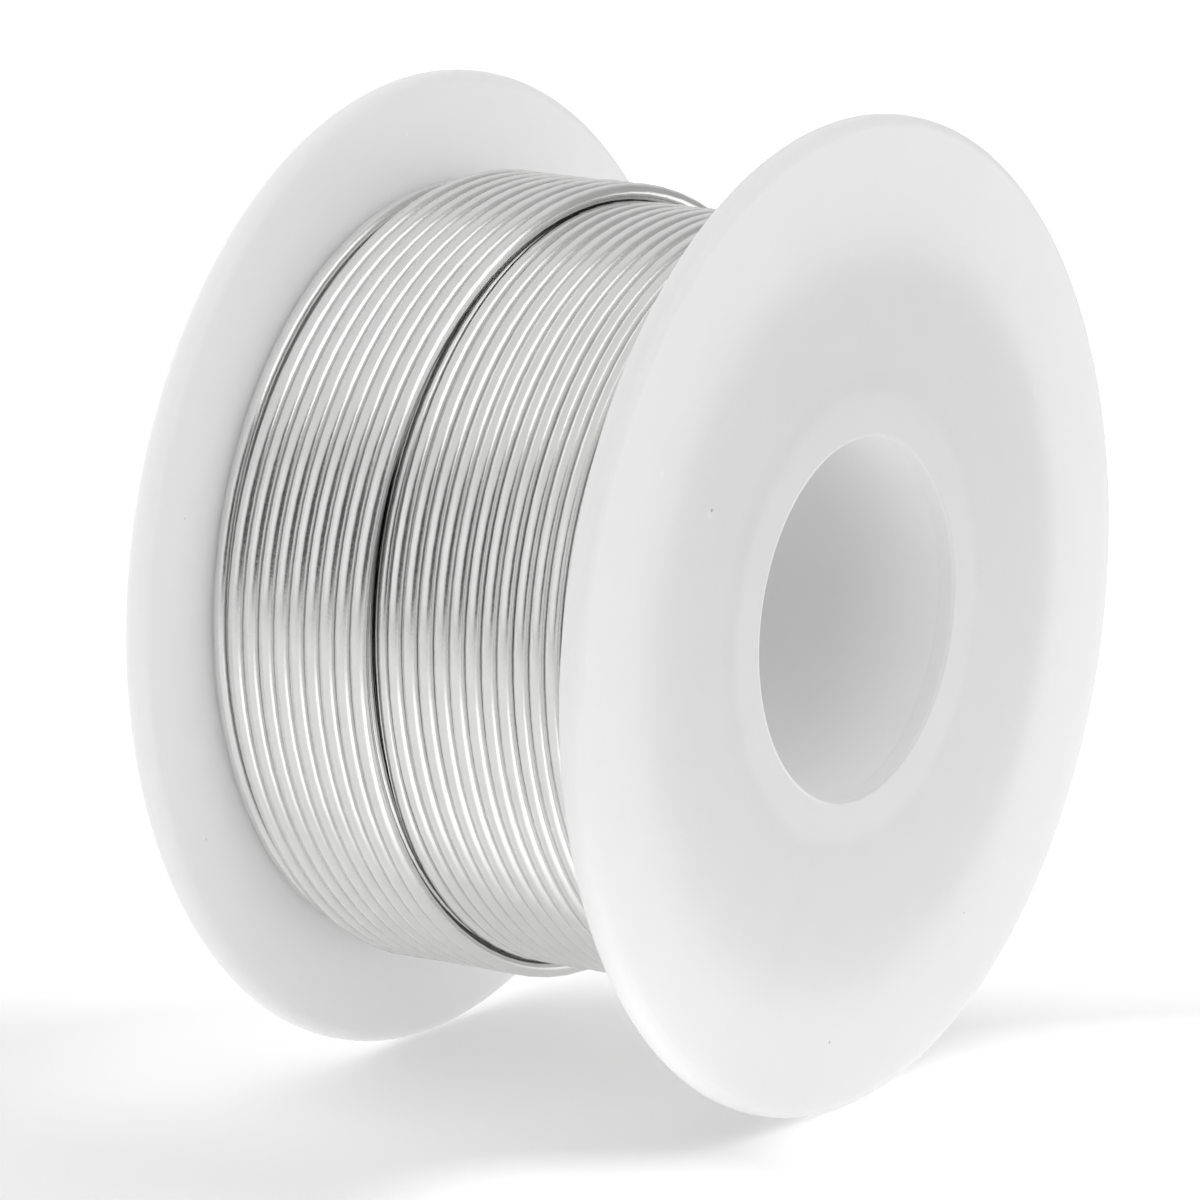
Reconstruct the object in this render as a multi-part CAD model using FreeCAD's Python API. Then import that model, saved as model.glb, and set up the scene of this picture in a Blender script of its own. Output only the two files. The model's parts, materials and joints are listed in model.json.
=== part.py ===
import FreeCAD, Part
import math
import os

# A small reel of rosin-cored solder wire. Millimetres.
#
# The reel stands on its two rims with its axle hole along X, and the origin is the middle of that hole.
# Its plastic body is a hub tube and two round flanges. Each end of the tube sits in a shallow round seat in the
# inner face of a flange, and the axle hole runs through all three.
# The wire is wound on the hub in layers. It runs back and forth between the flanges, and the top layer
# stops part of the way across, so the layer under it shows beside the step.
#
# Angles round the axle hole are counted from the front (-Y) up over the top (+Z), which is the way the
# wire is wound.

# Plastic body
FLANGE_DIAMETER = 44.0
FLANGE_THICKNESS = 1.2
REEL_LENGTH = 23.6
BORE_DIAMETER = 16.0
DRUM_DIAMETER = 20.3
SEAT_DEPTH = 0.4
RIM_ROUNDING = 0.5
MOUTH_ROUNDING = 0.15
TUBE_CHAMFER = 0.1

# Wire
WIRE_DIAMETER = 0.8
FLUX_DIAMETER = 0.3
WOUND_DIAMETER = 35.6
FULL_LAYERS = 9
TURNS_PER_LAYER = 25
TOP_LAYER_TURNS = 9
TOP_LAYER_INSET_TURNS = 1.5
LOOSE_END_FROM = 110.0
LOOSE_END_TO = 190.0

# Room left between pieces that touch
CONTACT_GAP = 0.02

# Worked out from the dimensions above
flange_radius = FLANGE_DIAMETER / 2
bore_radius = BORE_DIAMETER / 2
drum_radius = DRUM_DIAMETER / 2
wire_radius = WIRE_DIAMETER / 2
flux_radius = FLUX_DIAMETER / 2
reel_end = REEL_LENGTH / 2
drum_end = reel_end - FLANGE_THICKNESS
tube_end = drum_end + SEAT_DEPTH
first_layer_radius = drum_radius + CONTACT_GAP + wire_radius
top_layer_radius = WOUND_DIAMETER / 2 - wire_radius
layer_rise = (top_layer_radius - first_layer_radius) / FULL_LAYERS
turn_pitch = (2 * drum_end - WIRE_DIAMETER) / TURNS_PER_LAYER
top_layer_start = -drum_end + TOP_LAYER_INSET_TURNS * turn_pitch
top_layer_end = top_layer_start + TOP_LAYER_TURNS * turn_pitch

ORIGIN = FreeCAD.Vector(0, 0, 0)
AXLE = FreeCAD.Vector(1, 0, 0)
WINDING_AXIS = FreeCAD.Vector(-1, 0, 0)


def disc(radius, start, end):
    """A solid cylinder along the axle hole, from start to end."""
    return Part.makeCylinder(radius, end - start, FreeCAD.Vector(start, 0, 0), AXLE)


def ring(inner_radius, outer_radius, start, end):
    """A round tube along the axle hole, from start to end."""
    return disc(outer_radius, start, end).cut(disc(inner_radius, start, end))


def round_edges(shape, radius, at=None):
    """The shape's circular edges of this radius, all of them or those at these places along X."""
    found = []
    for edge in shape.Edges:
        curve = edge.Curve
        if not isinstance(curve, Part.Circle) or abs(curve.Radius - radius) > 1e-6:
            continue
        if at is None or min(abs(curve.Center.x - x) for x in at) < 1e-6:
            found.append(edge)
    return found


def hub_tube():
    """The winding drum: a plain tube that runs from the bottom of one flange's seat to the other's."""
    tube = ring(bore_radius, drum_radius, -tube_end, tube_end)
    return tube.makeChamfer(TUBE_CHAMFER, round_edges(tube, drum_radius))


def flange(side):
    """A thin round plate with a rounded rim. side is -1 or 1, the end of the reel that it is on."""
    plate = ring(bore_radius, flange_radius, *sorted((side * drum_end, side * reel_end)))
    seat = disc(drum_radius + CONTACT_GAP, *sorted((side * drum_end, side * tube_end)))
    plate = plate.cut(seat)
    plate = plate.makeFillet(RIM_ROUNDING, round_edges(plate, flange_radius))
    return plate.makeFillet(MOUTH_ROUNDING, round_edges(plate, bore_radius, (side * reel_end,)))


def wire_centre_radius(layer):
    """How far the wire's centre is from the axis in this layer. The first layer is 1."""
    return first_layer_radius + (layer - 1) * layer_rise


def winding_layer(layer):
    """The room that one full layer of turns takes up, between the two flanges."""
    inner_radius = wire_centre_radius(layer) - wire_radius
    outer_radius = wire_centre_radius(layer + 1) - wire_radius - CONTACT_GAP
    return ring(inner_radius, outer_radius, -drum_end, drum_end)


def top_layer():
    """The room that the whole turns of the unfinished top layer take up, by the -X flange.

    The turn at the flange is the last one of the layer below. The top layer starts in the second groove.
    """
    inner_radius = top_layer_radius - wire_radius
    outer_radius = top_layer_radius + wire_radius
    return ring(inner_radius, outer_radius, top_layer_start, top_layer_end)


def arc_of_wire(section):
    """A flat section, drawn at the front, swept round the axle hole along the loose end."""
    start = section.copy()
    start.rotate(ORIGIN, WINDING_AXIS, LOOSE_END_FROM)
    return start.revolve(ORIGIN, WINDING_AXIS, LOOSE_END_TO - LOOSE_END_FROM)


def loose_end_section(radius):
    """A round face across the wire, beside the top layer's last whole turn."""
    middle = top_layer_end + CONTACT_GAP + wire_radius
    centre = FreeCAD.Vector(middle, -top_layer_radius, 0)
    along = FreeCAD.Vector(0, 0, 1)
    return Part.Face(Part.Wire(Part.makeCircle(radius, centre, along)))


def loose_end():
    """The last part turn of the wire: a solder tube round its flux."""
    wall = loose_end_section(wire_radius).cut(loose_end_section(flux_radius + CONTACT_GAP))
    return arc_of_wire(wall.Faces[0])


def flux_core():
    """The flux inside the last part turn."""
    return arc_of_wire(loose_end_section(flux_radius))


def wire_length():
    """The whole wire's length, in metres."""
    full = sum(wire_centre_radius(layer) for layer in range(1, FULL_LAYERS + 1)) * TURNS_PER_LAYER
    part_turn = (LOOSE_END_TO - LOOSE_END_FROM) / 360
    top = top_layer_radius * (TOP_LAYER_TURNS + part_turn)
    return 2 * math.pi * (full + top) / 1000


os.makedirs("parts", exist_ok=True)

pieces = {
    "hub_tube": hub_tube(),
    "near_flange": flange(1),
    "far_flange": flange(-1),
    "solder_top_layer": top_layer(),
    "solder_loose_end": loose_end(),
    "flux_core": flux_core(),
}
for layer in range(1, FULL_LAYERS + 1):
    pieces[f"solder_layer_{layer}"] = winding_layer(layer)

for name, shape in pieces.items():
    solid = shape.Solids[0]
    solid.exportStep(f"parts/{name}.step")
    print(f"{name}: {len(shape.Solids)} solid, valid {solid.isValid()}, {solid.Volume:.1f} mm3")

print(f"layer rise {layer_rise:.3f} mm, turn pitch {turn_pitch:.3f} mm, wire {wire_length():.2f} m")
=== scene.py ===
import json
import math
import random

import bpy
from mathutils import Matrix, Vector


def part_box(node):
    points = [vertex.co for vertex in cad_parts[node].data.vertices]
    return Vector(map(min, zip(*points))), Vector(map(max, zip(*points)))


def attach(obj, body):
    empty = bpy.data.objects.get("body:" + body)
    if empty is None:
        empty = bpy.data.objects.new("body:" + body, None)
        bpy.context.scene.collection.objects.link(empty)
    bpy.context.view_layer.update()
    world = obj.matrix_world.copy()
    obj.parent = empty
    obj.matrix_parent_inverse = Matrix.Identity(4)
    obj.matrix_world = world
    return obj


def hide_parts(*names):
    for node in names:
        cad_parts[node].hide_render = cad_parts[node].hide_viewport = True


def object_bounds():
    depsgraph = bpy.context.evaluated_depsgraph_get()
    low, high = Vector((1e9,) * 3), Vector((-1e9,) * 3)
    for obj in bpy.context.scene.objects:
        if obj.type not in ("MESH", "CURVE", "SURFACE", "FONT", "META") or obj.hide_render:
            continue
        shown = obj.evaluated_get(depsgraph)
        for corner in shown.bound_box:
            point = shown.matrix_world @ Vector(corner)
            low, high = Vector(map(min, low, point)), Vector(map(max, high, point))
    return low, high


# A small reel of rosin-cored solder wire: the looks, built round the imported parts.
#
# Blender works in metres. Names that end in _MM are in millimetres, and angles are in degrees.
# The reel stands on its two rims with its axle hole along X. Angles round that hole are counted from the
# front (-Y) up over the top (+Z), which is the way the wire is wound.
# Directions in the room are an azimuth, counted from the front (-Y) to the right (+X), and an elevation.

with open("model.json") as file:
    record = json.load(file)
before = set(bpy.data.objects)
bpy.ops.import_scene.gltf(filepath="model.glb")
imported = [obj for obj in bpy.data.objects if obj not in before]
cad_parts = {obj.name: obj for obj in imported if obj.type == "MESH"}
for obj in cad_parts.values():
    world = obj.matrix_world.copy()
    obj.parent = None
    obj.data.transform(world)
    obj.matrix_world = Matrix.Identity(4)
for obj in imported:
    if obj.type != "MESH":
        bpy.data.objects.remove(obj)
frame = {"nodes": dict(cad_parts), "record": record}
cad_low, cad_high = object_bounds()
MM = 0.001

# Camera, which looks at a point just left of and below the middle of the axle hole
CAMERA_AZIMUTH = 33.6
CAMERA_ELEVATION = 12.6
CAMERA_DISTANCE = 0.362
CAMERA_LENS_MM = 245.2
CAMERA_SENSOR_MM = 36
CAMERA_CLIP = (0.01, 10)
AIM_LEFT_MM = 1.45
AIM_DOWN_MM = 0.58

# Wire
WIRE_DIAMETER_MM = 0.8
FLUX_DIAMETER_MM = 0.3
FULL_LAYERS = 9
TURNS_PER_LAYER = 25
TOP_LAYER_TURNS = 9
LAYERS_START_AT = 110.0
LOOSE_END_ANGLE = 80.0
LOOSE_END_LIFT_MM = 0.35
HIDDEN_POINTS_PER_TURN = 12
SHOWN_POINTS_PER_TURN = 40
TUBE_SIDES = 12
DOME_RINGS = 4
DOME_SIDES = 20
DOME_HEIGHT = 0.4
SPLINE_ORDER = 3
SPLINE_STEPS = 2

# How the turns lie. Each creeps along the axle all the way round, and faster where it crosses the turn below.
# A crossing is (its middle's angle, the angle it takes up, the share of a pitch that is gained there).
CROSSING = (10.0, 120.0, 0.25)
TOP_CROSSING = (75.0, 150.0, 0.9)
# At a flange the wire climbs to the next layer in this part of a turn
CLIMB_TURNS = 0.12
# The layer under the top one runs a little ahead, and its last turn lies along the flange and rides up on it.
# Places in a layer are counted in turns from its start.
RUN_AHEAD_MM = 0.25
RUN_AHEAD_RISE = (0.0, 0.6)
RUN_AHEAD_FALL = (16.0, 24.0)
LAST_TURN_FROM, LAST_TURN_TO = 24.0, 24.45
LAST_TURN_RISE_MM = 0.2
# At the front, the turn of it beside the top layer's step is pressed down
STEP_DIP_MM = 0.3
STEP_DIP_RISE = (14.58, 14.68)
STEP_DIP_FALL = (14.82, 14.98)
# The top layer starts in the second groove, and its turns bow away from that flange at the top and bottom
TOP_START_MM = 1.03
TOP_START_TURNS = 0.45
TOP_PITCH_SHARE = 0.987
TOP_BOW_MM = 0.14
TOP_BOW_AT = 5.0
UNEVEN_SIDEWAYS_MM = 0.006
UNEVEN_OUTWARD_MM = 0.02
SPARE_OFFSETS = 3
RANDOM_SEED = 7

# Plastic body
FLANGE_THICKNESS_MM = 1.2
SEAT_DEPTH_MM = 0.4
SEAT_GAP_MM = 0.004
SEAT_ROUNDING_MM = 0.01
MOUTH_ROUNDING_MM = 0.15
RIM_ROUNDING_MM = 0.5
LATHE_SIDES = 240
ARC_STEPS = 6
# Room between a rounded corner and the extra point beside it that keeps the flat next to it shaded flat
SUPPORT_MM = 0.05

# Looks of the plastic, as (how white, how deep light goes in metres)
NEAR_FLANGE_LOOK = (0.837, 0.0028)
# The far flange is the same plastic as the near one. Its whiter colour is painted light, for the light that
# the winding and the near flange keep from its inner face.
FAR_FLANGE_PAINTED_LIGHTER_LOOK = (0.95, 0.0028)
HUB_LOOK = (0.89, 0.0)
MOTTLE = 0.015
MOTTLE_SCALE = 350
PLASTIC_ROUGHNESS = (0.40, 0.48)
PLASTIC_ROUGHNESS_SCALE = 2500
PLASTIC_BUMP = (0.06, 0.00005)
PLASTIC_BUMP_SCALE = 1800
# Zones of a flange, each whole within the first radius and gone beyond the second. Over the drum it lets no
# light in and its colour is darkened, a painted shade, and at the mouth of the axle hole its colour is
# palest, a painted light. A shade multiplies the colour.
DRUM_ZONE_MM = (9.3, 10.7)
DRUM_PAINTED_SHADE = 0.932
MOUTH_ZONE_MM = (8.005, 8.05)
MOUTH_PAINTED_LIGHT = 1.18
# The rounded edge of the mouth has a painted highlight at the front. The highlight is whole within the first
# distance of its radius and gone beyond the second, and whole before the first Y and gone past the second.
EDGE_RADIUS_MM = 8.11
EDGE_WIDTH_MM = (0.054, 0.09)
EDGE_FRONT_MM = (-4.5, -1.0)
EDGE_HIGHLIGHT_BY = 0.17
# The hub tube's colour is greyer half way along than at its ends: painted shade deep in the axle hole, and
# painted light towards its mouths
HUB_MIDDLE_TO_ENDS_MM = (5.0, 11.0)
HUB_PAINTED_SHADE_AND_LIGHT = (0.935, 1.05)
# Marks on the flanges' flat faces, as (y, z, radius, shade) in millimetres. A shade under 1 darkens.
NEAR_FACE_MARKS = ((-11.87, 6.94, 0.10, 0.45), (-2.22, -18.56, 0.09, 0.6), (-15.7, 9.16, 0.22, 1.03),
                   (-12.0, 6.8, 0.34, 1.04), (9.1, -15.2, 0.07, 0.7), (14.8, 7.7, 0.16, 1.04))
FAR_FACE_MARKS = ((-2.12, 19.58, 0.12, 1.06), (-2.9, 19.4, 0.07, 1.06), (-18.9, 5.2, 0.06, 0.7),
                  (-17.6, -9.3, 0.09, 0.8))
# The share of a mark's radius in which it is whole
MARK_CORE = 0.5

# Looks of the wire: the darkest and lightest colour, and the noises that make its drawn lines and its grain
SOLDER_COLOURS = ((0.77, 0.77, 0.765), (0.85, 0.85, 0.845))
SOLDER_ROUGHNESS = (0.17, 0.27)
SOLDER_BUMP = (0.10, 0.00002)
LINES_SCALE = 16000
LINES_STRETCH = 0.00035
LINES_SHARE = 0.5
GRAIN_SCALE = 9000
DULL_SCALE = 700
FLUX_COLOURS = ((0.5, 0.24, 0.04), (0.78, 0.5, 0.16))
FLUX_SCALE = 6000
FLUX_ROUGHNESS = 0.15
FLUX_COAT = 0.5
# The part of a noise's range that is spread over a look's whole range, and the detail of the finer noises
NOISE_SPREAD = (0.3, 0.7)
FINE_DETAIL = 3.0

# Floor, which glows softly near the reel like a light table: painted light, in spots laid round the reel
FLOOR_REACH = 1.6
FLOOR_COLOURS = ((0.80, 0.80, 0.80), (0.82, 0.82, 0.82))
FLOOR_SCALE = 300
FLOOR_ROUGHNESS = 0.7
FLOOR_SHINE = 0.2
# Round spots of glow, as (x, y, whole within this distance, gone beyond this one)
FRONT_SPOT_MM = (22, -40, 18, 36)
FRONT_GLOW = 0.66
BESIDE_SPOT_MM = (32, 4, 14, 28)
BESIDE_GLOW = 0.42
UNDER_SPOT_MM = (-8, -2, 12, 24)
UNDER_GLOW = 0.11
# The front spot ends along a slanting line, and the glow behind the reel grows away from another
FRONT_SPOT_ACROSS = (1.0, 0.7, 0.0)
FRONT_SPOT_EDGE_MM = (-18, -4)
BEHIND_ACROSS = (-0.553, 0.833, 0.0)
BEHIND_EDGE_MM = (0, 30)
BEHIND_GLOW = 0.45
# All of it fades out round this point, as does the even glow that lies under it
GLOW_CENTRE_MM = (-70, 170)
GLOW_FADE_MM = (260, 360)
EVEN_GLOW = 0.21
EVEN_GLOW_FADE_MM = (260, 500)

# Soft boxes, as (name, azimuth, elevation, distance, width, height, radiance)
SOFT_BOXES = (("key_right", 93.0, 40.0, 0.6, 0.6, 0.45, 1.0),
              ("fill_left", -25.0, 15.0, 0.7, 0.7, 0.4, 0.18),
              ("side_left", -96.0, 12.0, 0.5, 0.4, 0.4, 0.7))

# Brightness of the room, as radiance. The dim side and the dark part each have a direction, and the angles
# from it at which they are gone and whole.
SKY = 0.76
SKY_DIM_SIDE = 0.42
DIM_SIDE = (135.0, 5.0)
DIM_SIDE_ANGLES = (75.0, 25.0)
SKY_DARK = 0.08
DARK = (50.0, 9.0)
DARK_ANGLES = (36.0, 20.0)

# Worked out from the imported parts
wire_radius = WIRE_DIAMETER_MM * MM / 2
drum_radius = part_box("hub_tube")[1].y
top_layer_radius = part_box("solder_top_layer")[1].y - wire_radius
first_layer_radius = drum_radius + wire_radius
layer_rise = (top_layer_radius - first_layer_radius) / FULL_LAYERS
winding_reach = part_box("solder_layer_1")[1].x - wire_radius
turn_pitch = 2 * winding_reach / TURNS_PER_LAYER
full_turns = FULL_LAYERS * TURNS_PER_LAYER
reel_end = cad_high.x / MM
flange_radius = cad_high.z / MM
bore_radius = next(m["dims"]["r_mm"] for m in frame["record"]["mounts"] if m["name"] == "bore")


def direction(azimuth, elevation):
    """The unit vector that points from the reel in this direction."""
    a, e = math.radians(azimuth), math.radians(elevation)
    return Vector((math.sin(a) * math.cos(e), -math.cos(a) * math.cos(e), math.sin(e)))


def add_object(name, data):
    """A new object in the scene."""
    thing = bpy.data.objects.new(name, data)
    bpy.context.scene.collection.objects.link(thing)
    return thing


def place_facing_reel(thing, azimuth, elevation, distance, aim):
    """Puts a camera or a light here, turned back towards the reel. aim is how far off the middle it looks."""
    back = direction(azimuth, elevation)
    thing.rotation_mode = "QUATERNION"
    thing.rotation_quaternion = (-back).to_track_quat("-Z", "Y")
    thing.location = thing.rotation_quaternion @ aim + back * distance


def make_camera():
    """The camera, at the view the reel was photographed from."""
    data = bpy.data.cameras.new("camera")
    data.sensor_width = CAMERA_SENSOR_MM
    data.lens = CAMERA_LENS_MM
    data.clip_start, data.clip_end = CAMERA_CLIP
    camera = add_object("camera", data)
    aim = Vector((-AIM_LEFT_MM, -AIM_DOWN_MM, 0)) * MM
    place_facing_reel(camera, CAMERA_AZIMUTH, CAMERA_ELEVATION, CAMERA_DISTANCE, aim)
    bpy.context.scene.camera = camera


# The wire's route


def smooth_step(value, start, end):
    """0 before start, 1 after end, and smoothly between."""
    share = min(1.0, max(0.0, (value - start) / (end - start)))
    return share * share * (3 - 2 * share)


def swell(value, rise, fall):
    """0, up to 1 through the rise (start, end), and back down to 0 through the fall."""
    return smooth_step(value, *rise) * (1 - smooth_step(value, *fall))


def uneven(turn, offsets):
    """The offset at this place along the wire, running smoothly from one turn's value to the next's."""
    whole = int(turn)
    share = smooth_step(turn - whole, 0, 1)
    return offsets[whole] * (1 - share) + offsets[whole + 1] * share


def crossings(turn_in_layer, middle, width):
    """How many crossings the wire has made since some start, where part of one counts as a share."""
    since = turn_in_layer + (LAYERS_START_AT - middle + width / 2) / 360
    whole = math.floor(since)
    return whole + smooth_step(since - whole, 0, width / 360)


def sideways(turn_in_layer, crossing):
    """How many pitches a turn has moved along the axle since its layer began."""
    middle, width, share = crossing
    crossed = crossings(turn_in_layer, middle, width) - crossings(0, middle, width)
    return turn_in_layer * (1 - share) + crossed * share


def wire_place(turn, side_offsets, out_offsets):
    """The wire's centre after this many turns: (distance along the axle, distance from it, angle)."""
    layer = min(int(turn / TURNS_PER_LAYER), FULL_LAYERS)
    turn_in_layer = turn - layer * TURNS_PER_LAYER
    heading = -1 if layer % 2 == 0 else 1
    radius = first_layer_radius + layer * layer_rise
    climb = layer_rise if layer > 0 else 0.0
    angle = LAYERS_START_AT + 360 * turn
    if layer == FULL_LAYERS:
        climb -= LAST_TURN_RISE_MM * MM
        started = smooth_step(turn_in_layer, 0, TOP_START_TURNS)
        bow = 1 - math.cos(2 * math.radians(angle - TOP_BOW_AT))
        moved = sideways(turn_in_layer, TOP_CROSSING) * turn_pitch * TOP_PITCH_SHARE
        moved += (TOP_START_MM + TOP_BOW_MM * bow) * MM * started
        past = (turn_in_layer - TOP_LAYER_TURNS) * 360 / LOOSE_END_ANGLE
        radius += LOOSE_END_LIFT_MM * MM * max(0.0, past) ** 2
    else:
        moved = sideways(turn_in_layer, CROSSING) * turn_pitch
    if layer == FULL_LAYERS - 1:
        last_turn = smooth_step(turn_in_layer, LAST_TURN_FROM, LAST_TURN_TO)
        moved += RUN_AHEAD_MM * MM * swell(turn_in_layer, RUN_AHEAD_RISE, RUN_AHEAD_FALL)
        moved += turn_pitch * last_turn
        radius += LAST_TURN_RISE_MM * MM * last_turn
        radius -= STEP_DIP_MM * MM * swell(turn_in_layer, STEP_DIP_RISE, STEP_DIP_FALL)
    radius -= climb * (1 - smooth_step(turn_in_layer, 0, CLIMB_TURNS))
    if layer >= FULL_LAYERS - 1:
        moved += uneven(turn, side_offsets)
        radius += uneven(turn, out_offsets)
    moved = min(moved, 2 * winding_reach)
    return heading * (moved - winding_reach), radius, angle


def turns_along_the_wire():
    """The places of the route's points, as numbers of turns from the wire's inner end."""
    hidden = full_turns - TURNS_PER_LAYER
    end = full_turns + TOP_LAYER_TURNS + LOOSE_END_ANGLE / 360
    places = [i / HIDDEN_POINTS_PER_TURN for i in range(hidden * HIDDEN_POINTS_PER_TURN)]
    shown = round((end - hidden) * SHOWN_POINTS_PER_TURN)
    places += [hidden + (end - hidden) * i / shown for i in range(shown + 1)]
    return places


def point_round_the_axle(along, radius, angle):
    """The point at this distance along and from the axle, at this angle round it."""
    a = math.radians(angle)
    return Vector((along, -radius * math.cos(a), radius * math.sin(a)))


def control_radius(radius, points_per_turn):
    """Where a spline's control points go for the curve to run at this radius: a little outside it."""
    return radius / (0.75 + 0.25 * math.cos(2 * math.pi / points_per_turn))


def wire_points():
    """The control points of the wire's spline."""
    rng = random.Random(RANDOM_SEED)
    count = full_turns + TOP_LAYER_TURNS + SPARE_OFFSETS
    side_offsets = [rng.uniform(-1, 1) * UNEVEN_SIDEWAYS_MM * MM for _ in range(count)]
    out_offsets = [rng.uniform(-1, 1) * UNEVEN_OUTWARD_MM * MM for _ in range(count)]
    points = []
    for turn in turns_along_the_wire():
        along, radius, angle = wire_place(turn, side_offsets, out_offsets)
        hidden = turn < full_turns - TURNS_PER_LAYER
        points_per_turn = HIDDEN_POINTS_PER_TURN if hidden else SHOWN_POINTS_PER_TURN
        points.append(point_round_the_axle(along, control_radius(radius, points_per_turn), angle))
    return points


# Shader helpers


def feed(tree, socket, value):
    """Sets a socket to a number, a colour or another node's output."""
    if isinstance(value, bpy.types.NodeSocket):
        tree.links.new(value, socket)
    else:
        socket.default_value = value


def add_node(tree, kind, inputs=None, **settings):
    """A new node with these settings, and with its inputs fed by name or place."""
    node = tree.nodes.new(kind)
    for name, value in settings.items():
        setattr(node, name, value)
    for key, value in (inputs or {}).items():
        feed(tree, node.inputs[key], value)
    return node


def calc(tree, operation, *values):
    """The output of one Math node."""
    return add_node(tree, "ShaderNodeMath", dict(enumerate(values)), operation=operation).outputs[0]


def measure(tree, operation, first, second):
    """The DISTANCE between two vectors, or their DOT_PRODUCT."""
    node = add_node(tree, "ShaderNodeVectorMath", {0: first, 1: second}, operation=operation)
    return node.outputs["Value"]


def scale_colour(tree, colour, factor):
    """The colour times this factor."""
    node = add_node(tree, "ShaderNodeVectorMath", {0: colour, "Scale": factor}, operation="SCALE")
    return node.outputs[0]


def blend_range(tree, value, low, high, to_low=0.0, to_high=1.0):
    """value, carried from low...high to to_low...to_high, with both ends held."""
    inputs = {"Value": value, "From Min": low, "From Max": high, "To Min": to_low, "To Max": to_high}
    return add_node(tree, "ShaderNodeMapRange", inputs, interpolation_type="SMOOTHSTEP").outputs[0]


def noise(tree, vector, scale, detail=2.0):
    """A noise value round 0.5."""
    inputs = {"Vector": vector, "Scale": scale, "Detail": detail}
    return add_node(tree, "ShaderNodeTexNoise", inputs).outputs[0]


def mix_colours(tree, share, first, second):
    """first where share is 0, second where it is 1."""
    node = add_node(tree, "ShaderNodeMix", data_type="RGBA")
    feed(tree, node.inputs["Factor"], share)
    feed(tree, node.inputs["A"], (*first, 1))
    feed(tree, node.inputs["B"], (*second, 1))
    return node.outputs["Result"]


def new_material(name):
    """An empty node material: (material, tree, shader)."""
    material = bpy.data.materials.new(name)
    material.use_nodes = True
    tree = material.node_tree
    tree.nodes.clear()
    shader = add_node(tree, "ShaderNodeBsdfPrincipled")
    add_node(tree, "ShaderNodeOutputMaterial", {"Surface": shader.outputs[0]})
    return material, tree, shader


def add_bump(tree, shader, height, strength, distance):
    """Makes the surface rise and fall with this height."""
    bump = add_node(tree, "ShaderNodeBump", {"Strength": strength, "Distance": distance, "Height": height})
    feed(tree, shader.inputs["Normal"], bump.outputs[0])


def object_place(tree):
    """The shaded point in the object's own coordinates, and its X, Y and Z."""
    place = add_node(tree, "ShaderNodeTexCoord").outputs["Object"]
    return place, add_node(tree, "ShaderNodeSeparateXYZ", {0: place}).outputs


def distance_from_axle(tree, parts):
    """How far the point with this X, Y and Z is from the axle hole's axis."""
    squares = calc(tree, "ADD", calc(tree, "POWER", parts[1], 2.0), calc(tree, "POWER", parts[2], 2.0))
    return calc(tree, "SQRT", squares)


# Materials


def solder_material():
    """Bright drawn wire: fine lines along it, and a faint dull grain."""
    material, tree, shader = new_material("solder")
    place, parts = object_place(tree)
    angle = calc(tree, "ARCTAN2", parts[2], parts[1])
    stretched = calc(tree, "MULTIPLY", angle, LINES_STRETCH)
    radius = distance_from_axle(tree, parts)
    across = add_node(tree, "ShaderNodeCombineXYZ", {0: parts[0], 1: radius, 2: stretched})
    lines = noise(tree, across.outputs[0], LINES_SCALE)
    grain = noise(tree, place, GRAIN_SCALE, FINE_DETAIL)
    dull = noise(tree, place, DULL_SCALE)
    feed(tree, shader.inputs["Base Color"], mix_colours(tree, dull, *SOLDER_COLOURS))
    shader.inputs["Metallic"].default_value = 1.0
    feed(tree, shader.inputs["Roughness"], blend_range(tree, grain, *NOISE_SPREAD, *SOLDER_ROUGHNESS))
    add_bump(tree, shader, calc(tree, "ADD", calc(tree, "MULTIPLY", lines, LINES_SHARE), grain), *SOLDER_BUMP)
    return material


def flux_material():
    """Clear amber rosin."""
    material, tree, shader = new_material("flux")
    place, _ = object_place(tree)
    feed(tree, shader.inputs["Base Color"], mix_colours(tree, noise(tree, place, FLUX_SCALE), *FLUX_COLOURS))
    shader.inputs["Roughness"].default_value = FLUX_ROUGHNESS
    shader.inputs["Coat Weight"].default_value = FLUX_COAT
    return material


def marked(tree, place, colour, marks):
    """The colour, shaded at each (y, z, radius, shade) mark."""
    for y, z, radius, shade in marks:
        flat = add_node(tree, "ShaderNodeVectorMath", {0: place, 1: (0.0, 1.0, 1.0)}, operation="MULTIPLY")
        away = measure(tree, "DISTANCE", flat.outputs[0], (0.0, y * MM, z * MM))
        strength = blend_range(tree, away, radius * MM * MARK_CORE, radius * MM, shade, 1.0)
        colour = scale_colour(tree, colour, strength)
    return colour


def zone(tree, radius, whole_mm, gone_mm, inside, outside):
    """inside within the first radius and outside beyond the second."""
    return blend_range(tree, radius, whole_mm * MM, gone_mm * MM, inside, outside)


def flange_painted_light_and_shade(tree, radius, back):
    """The factor for a flange's colour: painted shade over the drum, painted light at the mouth, a painted
    highlight on its edge.
    """
    # Painted shade over the drum, and painted light on the wall of the axle hole
    drum = zone(tree, radius, *DRUM_ZONE_MM, DRUM_PAINTED_SHADE, 1.0)
    mouth = zone(tree, radius, *MOUTH_ZONE_MM, MOUTH_PAINTED_LIGHT, 1.0)
    # A painted highlight on the front of the mouth's rounded edge
    off_edge = calc(tree, "ABSOLUTE", calc(tree, "SUBTRACT", radius, EDGE_RADIUS_MM * MM))
    front = zone(tree, back, *EDGE_FRONT_MM, EDGE_HIGHLIGHT_BY, 0.0)
    edge = calc(tree, "MULTIPLY", front, zone(tree, off_edge, *EDGE_WIDTH_MM, 1.0, 0.0))
    return calc(tree, "MULTIPLY", calc(tree, "MULTIPLY", drum, mouth), calc(tree, "ADD", edge, 1.0))


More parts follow.
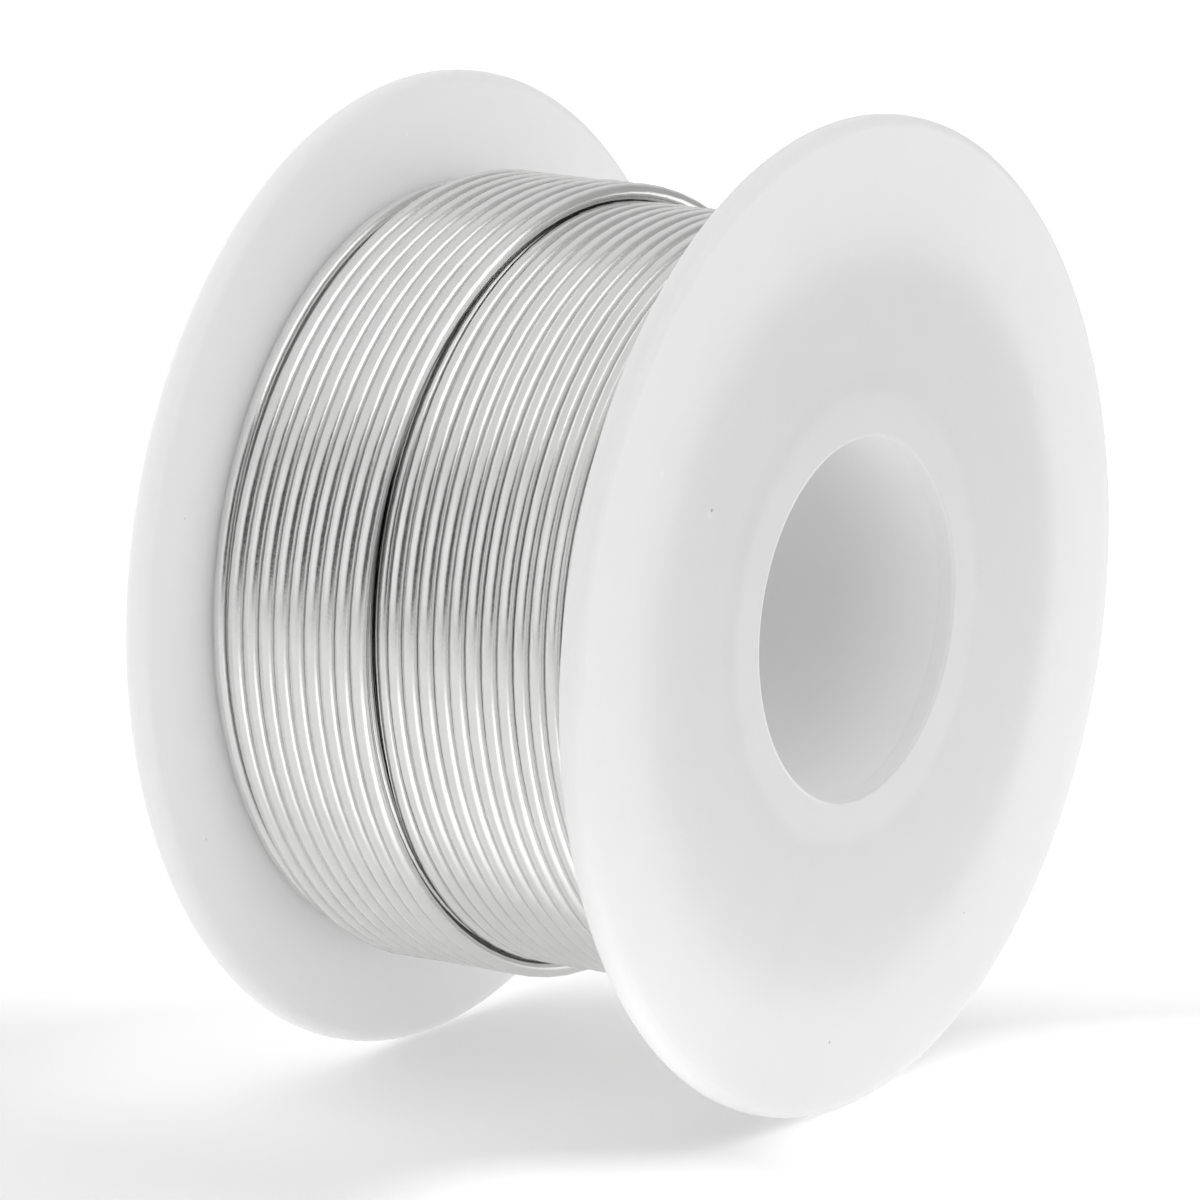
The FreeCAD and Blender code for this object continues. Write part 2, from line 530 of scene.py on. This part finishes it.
def plastic_material(name, look, marks, is_flange):
    """Milky polypropylene with a satin skin. Light goes a little way into a flange."""
    white, depth = look
    material, tree, shader = new_material(name)
    place, parts = object_place(tree)
    mottle = noise(tree, place, MOTTLE_SCALE, FINE_DETAIL)
    colour = mix_colours(tree, mottle, (white - MOTTLE,) * 3, (white + MOTTLE,) * 3)
    if is_flange:
        radius = distance_from_axle(tree, parts)
        # The flange's colour carries painted light and shade
        shade = flange_painted_light_and_shade(tree, radius, parts[1])
        feed(tree, shader.inputs["Subsurface Weight"], zone(tree, radius, *DRUM_ZONE_MM, 0.0, 1.0))
    else:
        # Painted shade half way along the hub, and painted light at its ends
        off_middle = calc(tree, "ABSOLUTE", parts[0])
        shade = zone(tree, off_middle, *HUB_MIDDLE_TO_ENDS_MM, *HUB_PAINTED_SHADE_AND_LIGHT)
    feed(tree, shader.inputs["Base Color"], marked(tree, place, scale_colour(tree, colour, shade), marks))
    shader.subsurface_method = "RANDOM_WALK"
    shader.inputs["Subsurface Radius"].default_value = (1.0, 1.0, 1.0)
    shader.inputs["Subsurface Scale"].default_value = depth
    roughness = noise(tree, place, PLASTIC_ROUGHNESS_SCALE)
    feed(tree, shader.inputs["Roughness"], blend_range(tree, roughness, *NOISE_SPREAD, *PLASTIC_ROUGHNESS))
    add_bump(tree, shader, noise(tree, place, PLASTIC_BUMP_SCALE, FINE_DETAIL), *PLASTIC_BUMP)
    return material


# The reel's pieces


def make_wire(points):
    """The whole wire as one tube along one open spline."""
    data = bpy.data.curves.new("solder_wire", "CURVE")
    data.dimensions = "3D"
    data.bevel_depth = wire_radius
    data.bevel_resolution = TUBE_SIDES // 2 - 2
    data.use_fill_caps = True
    data.resolution_u = SPLINE_STEPS
    spline = data.splines.new("NURBS")
    spline.points.add(len(points) - 1)
    for spot, point in zip(spline.points, points):
        spot.co = (*point, 1)
    spline.order_u = SPLINE_ORDER
    spline.use_endpoint_u = True
    spline.resolution_u = SPLINE_STEPS
    spline.use_smooth = True
    data.materials.append(solder_material())
    wire = add_object("solder_wire", data)
    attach(wire, "root")
    solder_nodes = [n for n in frame["nodes"] if n.startswith("solder_")]
    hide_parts(*solder_nodes)
    return wire


def make_smooth_mesh(name, vertices, faces, material):
    """A new object with this mesh, shaded smooth."""
    mesh = bpy.data.meshes.new(name)
    mesh.from_pydata(vertices, [], faces)
    mesh.materials.append(material)
    for face in mesh.polygons:
        face.use_smooth = True
    return add_object(name, mesh)


def make_flux_end(end, along_wire):
    """The flux that shows in the cut face of the wire: a low dome."""
    radius = FLUX_DIAMETER_MM * MM / 2
    vertices, faces = [], []
    for ring in range(DOME_RINGS):
        lean = math.pi / 2 * ring / DOME_RINGS
        for side in range(DOME_SIDES):
            a = 2 * math.pi * side / DOME_SIDES
            vertices.append((radius * math.cos(lean) * math.cos(a), radius * math.cos(lean) * math.sin(a),
                             radius * DOME_HEIGHT * math.sin(lean)))
    top = len(vertices)
    vertices.append((0, 0, radius * DOME_HEIGHT))
    for ring in range(DOME_RINGS - 1):
        for side in range(DOME_SIDES):
            a, b = ring * DOME_SIDES + side, ring * DOME_SIDES + (side + 1) % DOME_SIDES
            faces.append((a, b, b + DOME_SIDES, a + DOME_SIDES))
    last = (DOME_RINGS - 1) * DOME_SIDES
    faces += [(last + side, last + (side + 1) % DOME_SIDES, top) for side in range(DOME_SIDES)]
    faces.append(tuple(reversed(range(DOME_SIDES))))
    piece = make_smooth_mesh("flux_end", vertices, faces, flux_material())
    piece.rotation_mode = "QUATERNION"
    piece.rotation_quaternion = along_wire.to_track_quat("Z", "Y")
    piece.location = end
    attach(piece, "root")
    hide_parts("flux_core")
    return piece


def rounded_outline(corners):
    """A closed outline through these (x, radius, rounding) corners, in millimetres, with rounded corners."""
    outline = []
    for i, (x, y, rounding) in enumerate(corners):
        here = Vector((x, y))
        to_last = (Vector(corners[i - 1][:2]) - here).normalized()
        to_next = (Vector(corners[(i + 1) % len(corners)][:2]) - here).normalized()
        middle = here + (to_last + to_next) * rounding
        outline.append(here + to_last * (rounding + SUPPORT_MM))
        for step in range(ARC_STEPS + 1):
            a = math.pi / 2 * step / ARC_STEPS
            outline.append(middle - (to_next * math.cos(a) + to_last * math.sin(a)) * rounding)
        outline.append(here + to_next * (rounding + SUPPORT_MM))
    return outline


def make_lathed(name, corners, material):
    """A round piece turned about the axle hole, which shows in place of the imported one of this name."""
    outline = rounded_outline(corners)
    count = len(outline)
    vertices, faces = [], []
    for side in range(LATHE_SIDES):
        for x, radius in outline:
            vertices.append(point_round_the_axle(x, radius, 360 * side / LATHE_SIDES) * MM)
        this, following = side * count, (side + 1) % LATHE_SIDES * count
        for i in range(count):
            j = (i + 1) % count
            faces.append((this + i, this + j, following + j, following + i))
    body = make_smooth_mesh(name + "_body", vertices, faces, material)
    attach(body, "root")
    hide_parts(name)


def make_flange(name, side, look, marks):
    """A thin round plate with a rounded rim. side is 1 or -1, the end of the reel that it is on."""
    outer_face = reel_end * side
    inner_face = (reel_end - FLANGE_THICKNESS_MM) * side
    seat_floor = (reel_end - FLANGE_THICKNESS_MM + SEAT_DEPTH_MM) * side
    seat_radius = drum_radius / MM + SEAT_GAP_MM
    corners = [(seat_floor, bore_radius, SEAT_ROUNDING_MM), (seat_floor, seat_radius, SEAT_ROUNDING_MM),
               (inner_face, seat_radius, SEAT_ROUNDING_MM), (inner_face, flange_radius, RIM_ROUNDING_MM),
               (outer_face, flange_radius, RIM_ROUNDING_MM), (outer_face, bore_radius, MOUTH_ROUNDING_MM)]
    if side < 0:
        corners.reverse()
    make_lathed(name, corners, plastic_material(name, look, marks, True))


def make_hub():
    """The winding drum: a plain tube, whose ends sit in the flanges' seats."""
    end = reel_end - FLANGE_THICKNESS_MM + SEAT_DEPTH_MM - SEAT_GAP_MM
    drum = drum_radius / MM
    corners = [(-end, bore_radius, SEAT_ROUNDING_MM), (-end, drum, SEAT_ROUNDING_MM),
               (end, drum, SEAT_ROUNDING_MM), (end, bore_radius, SEAT_ROUNDING_MM)]
    make_lathed("hub_tube", corners, plastic_material("hub_tube", HUB_LOOK, (), False))


# Floor, light and sky


def glow_spot(tree, place, x, y, whole, gone, strength):
    """A round spot of glow on the floor, in millimetres."""
    away = measure(tree, "DISTANCE", place, (x * MM, y * MM, 0.0))
    return zone(tree, away, whole, gone, strength, 0.0)


def floor_glow(tree, place):
    """How strongly the floor glows at this place."""
    front_edge = measure(tree, "DOT_PRODUCT", place, FRONT_SPOT_ACROSS)
    front = glow_spot(tree, place, *FRONT_SPOT_MM, FRONT_GLOW)
    front = calc(tree, "MULTIPLY", front, zone(tree, front_edge, *FRONT_SPOT_EDGE_MM, 0.0, 1.0))
    behind_edge = measure(tree, "DOT_PRODUCT", place, BEHIND_ACROSS)
    glow = zone(tree, behind_edge, *BEHIND_EDGE_MM, 0.0, BEHIND_GLOW)
    beside = glow_spot(tree, place, *BESIDE_SPOT_MM, BESIDE_GLOW)
    under = glow_spot(tree, place, *UNDER_SPOT_MM, UNDER_GLOW)
    for spot in (front, beside, under):
        glow = calc(tree, "MAXIMUM", glow, spot)
    glow = calc(tree, "MULTIPLY", glow, glow_spot(tree, place, *GLOW_CENTRE_MM, *GLOW_FADE_MM, 1.0))
    return calc(tree, "ADD", glow, glow_spot(tree, place, *GLOW_CENTRE_MM, *EVEN_GLOW_FADE_MM, EVEN_GLOW))


def make_floor():
    """A pale floor under the two rims, glowing with painted light in spots."""
    material, tree, shader = new_material("floor")
    place, _ = object_place(tree)
    mottle = noise(tree, place, FLOOR_SCALE)
    feed(tree, shader.inputs["Base Color"], mix_colours(tree, mottle, *FLOOR_COLOURS))
    shader.inputs["Roughness"].default_value = FLOOR_ROUGHNESS
    shader.inputs["Specular IOR Level"].default_value = FLOOR_SHINE
    shader.inputs["Emission Color"].default_value = (1, 1, 1, 1)
    # The floor's glow is painted light
    feed(tree, shader.inputs["Emission Strength"], floor_glow(tree, place))
    mesh = bpy.data.meshes.new("floor")
    r = FLOOR_REACH
    mesh.from_pydata([(-r, -r, 0), (r, -r, 0), (r, r, 0), (-r, r, 0)], [], [(0, 1, 2, 3)])
    mesh.materials.append(material)
    floor = add_object("floor", mesh)
    floor.location = (0, 0, cad_low.z)


def make_light(name, azimuth, elevation, distance, width, height, radiance):
    """A soft box that faces the reel."""
    data = bpy.data.lights.new(name, "AREA")
    data.shape = "RECTANGLE"
    data.size = width
    data.size_y = height
    data.energy = radiance * math.pi * width * height
    place_facing_reel(add_object(name, data), azimuth, elevation, distance, Vector((0, 0, 0)))


def toward_share(tree, toward, middle, gone_angle, whole_angle):
    """0 further than the first angle from the middle direction, and 1 nearer than the second."""
    closeness = measure(tree, "DOT_PRODUCT", toward, tuple(direction(*middle)))
    gone, whole = math.cos(math.radians(gone_angle)), math.cos(math.radians(whole_angle))
    return blend_range(tree, closeness, gone, whole)


def make_sky():
    """A pale room, dimmer behind the reel on the right, with one dark part in front of it."""
    world = bpy.data.worlds.new("room")
    world.use_nodes = True
    bpy.context.scene.world = world
    tree = world.node_tree
    tree.nodes.clear()
    toward = add_node(tree, "ShaderNodeTexCoord").outputs["Generated"]
    dim_side = toward_share(tree, toward, DIM_SIDE, *DIM_SIDE_ANGLES)
    dark = toward_share(tree, toward, DARK, *DARK_ANGLES)
    bright = blend_range(tree, dim_side, 0.0, 1.0, SKY, SKY_DIM_SIDE)
    strength = calc(tree, "MULTIPLY", bright, blend_range(tree, dark, 0.0, 1.0, 1.0, SKY_DARK / SKY))
    background = add_node(tree, "ShaderNodeBackground", {"Color": (1, 1, 1, 1), "Strength": strength})
    add_node(tree, "ShaderNodeOutputWorld", {"Surface": background.outputs[0]})


make_camera()
route = wire_points()
wire = make_wire(route)
flux_end = make_flux_end(route[-1], route[-1] - route[-2])
make_flange("near_flange", 1, NEAR_FLANGE_LOOK, NEAR_FACE_MARKS)
# The far flange's whiter colour is painted light
make_flange("far_flange", -1, FAR_FLANGE_PAINTED_LIGHTER_LOOK, FAR_FACE_MARKS)
make_hub()
make_floor()
for soft_box in SOFT_BOXES:
    make_light(*soft_box)
make_sky()
bpy.context.scene.view_settings.view_transform = "Standard"
